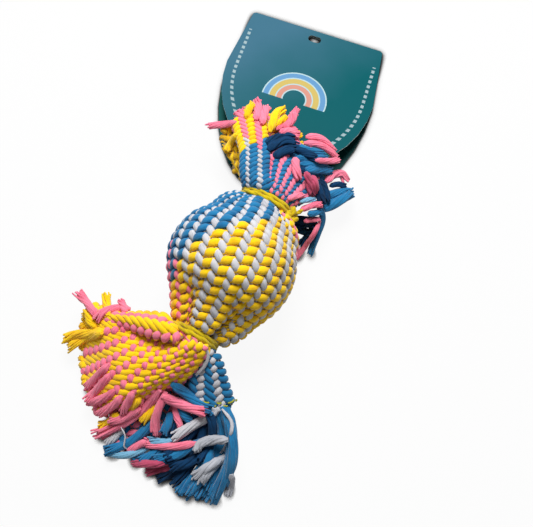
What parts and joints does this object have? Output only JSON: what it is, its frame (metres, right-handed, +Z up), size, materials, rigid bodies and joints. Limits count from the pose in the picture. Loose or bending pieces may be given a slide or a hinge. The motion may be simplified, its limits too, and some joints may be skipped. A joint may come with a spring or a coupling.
{
  "type": "rope dog toy",
  "caption": "Woven cotton dog toy: cloth wrapped round a ball and tied on both sides, with fringed ends that bend and sway, and a folded header card pinned to one end.",
  "frame": {"origin": "centre of the small flat under the ball, on the plane that the toy lies on", "axes": "+X along the toy towards the end with the header card, +Y to the left of that seen from above, +Z up"},
  "size_m": [0.318, 0.1548, 0.0755],
  "materials": {
    "rubber_core": "matte moulded rubber, hidden by the cloth",
    "woven_cloth": "thick cotton yarn in a twill weave",
    "tie_cord": "thin twisted cotton cord",
    "yarn_pink": "soft loose cotton yarn",
    "yarn_yellow": "soft loose cotton yarn",
    "yarn_blue": "soft loose cotton yarn",
    "yarn_white": "soft loose cotton yarn",
    "card": "coated printed card, plain",
    "nylon": "clear moulded nylon"
  },
  "bodies": {
    "ball": {"core_ball": "rubber_core", "ball_wrap": "woven_cloth", "lower_tie": "tie_cord", "lower_tie_knot": "tie_cord", "upper_tie": "tie_cord", "upper_tie_knot": "tie_cord"},
    "lower_neck": {"lower_gather": "woven_cloth"},
    "lower_fan": {"lower_panel_pink_yellow": "yarn_yellow", "lower_panel_blue_white": "yarn_blue", "lower_panel_under": "yarn_blue", "lower_left_tail_1_pink": "yarn_pink", "lower_left_tail_2_yellow": "yarn_yellow", "lower_left_tail_3_yellow": "yarn_yellow", "lower_left_tail_4_pink": "yarn_pink", "lower_left_tail_5_pink": "yarn_pink", "lower_left_tail_6_pink": "yarn_pink", "lower_left_tail_7_pink": "yarn_pink", "lower_left_tail_8_pink": "yarn_pink", "lower_right_tail_1_blue": "yarn_blue", "lower_right_tail_2_white": "yarn_white", "lower_right_tail_3_blue": "yarn_blue", "lower_right_tail_4_blue": "yarn_blue", "lower_under_tail_1_blue": "yarn_blue", "lower_under_tail_2_pink": "yarn_pink", "lower_under_tail_3_blue": "yarn_blue", "lower_under_tail_4_pink": "yarn_pink", "lower_under_tail_5_blue": "yarn_blue"},
    "upper_neck": {"upper_gather": "woven_cloth"},
    "upper_fan": {"upper_panel_blue_white": "yarn_blue", "upper_panel_yellow_pink": "yarn_yellow", "upper_panel_pink_blue": "yarn_pink", "upper_panel_under": "yarn_pink", "tag_pin": "nylon", "upper_tongue_tail_1_pink": "yarn_pink", "upper_tongue_tail_2_yellow": "yarn_yellow", "upper_tongue_tail_3_pink": "yarn_pink", "upper_tongue_tail_4_yellow": "yarn_yellow", "upper_left_tail_1_yellow": "yarn_yellow", "upper_left_tail_2_yellow": "yarn_yellow", "upper_right_tail_1_blue": "yarn_blue", "upper_right_tail_2_pink": "yarn_pink", "upper_right_tail_3_blue": "yarn_blue", "upper_right_tail_4_pink": "yarn_pink", "upper_right_tail_5_blue": "yarn_blue", "upper_right_tail_6_pink": "yarn_pink", "upper_under_tail_1_yellow": "yarn_yellow", "upper_under_tail_2_pink": "yarn_pink", "upper_under_tail_3_yellow": "yarn_yellow", "upper_under_tail_4_pink": "yarn_pink"},
    "header_front": {"card_front": "card"},
    "header_back": {"card_back": "card"}
  },
  "joints": [
    {"name": "lower_end_bend", "type": "hinge", "parent": "ball", "child": "lower_neck", "pos_m": [-0.04601, 0, 0.0295], "axis": [0, 1, 0], "range_deg": [-20, 50]},
    {"name": "lower_end_sway", "type": "hinge", "parent": "lower_neck", "child": "lower_fan", "pos_m": [-0.04601, 0, 0.0295], "axis": [0, 0, 1], "range_deg": [-30, 30]},
    {"name": "upper_end_bend", "type": "hinge", "parent": "ball", "child": "upper_neck", "pos_m": [0.04702, 0, 0.0295], "axis": [0, -1, 0], "range_deg": [-20, 50]},
    {"name": "upper_end_sway", "type": "hinge", "parent": "upper_neck", "child": "upper_fan", "pos_m": [0.04702, 0, 0.0295], "axis": [0, 0, 1], "range_deg": [-30, 30]},
    {"name": "card_swing", "type": "hinge", "parent": "upper_fan", "child": "header_front", "pos_m": [0.09359, 0.02243, 0.01204], "axis": [0.1207, 0.017, 0.9925], "range_deg": [-15, 15]},
    {"name": "card_fold", "type": "hinge", "parent": "header_front", "child": "header_back", "pos_m": [0.18302, 0.035, 0.00095], "axis": [0.1392, -0.9903, 0], "range_deg": [-5.5, 40]}
  ]
}
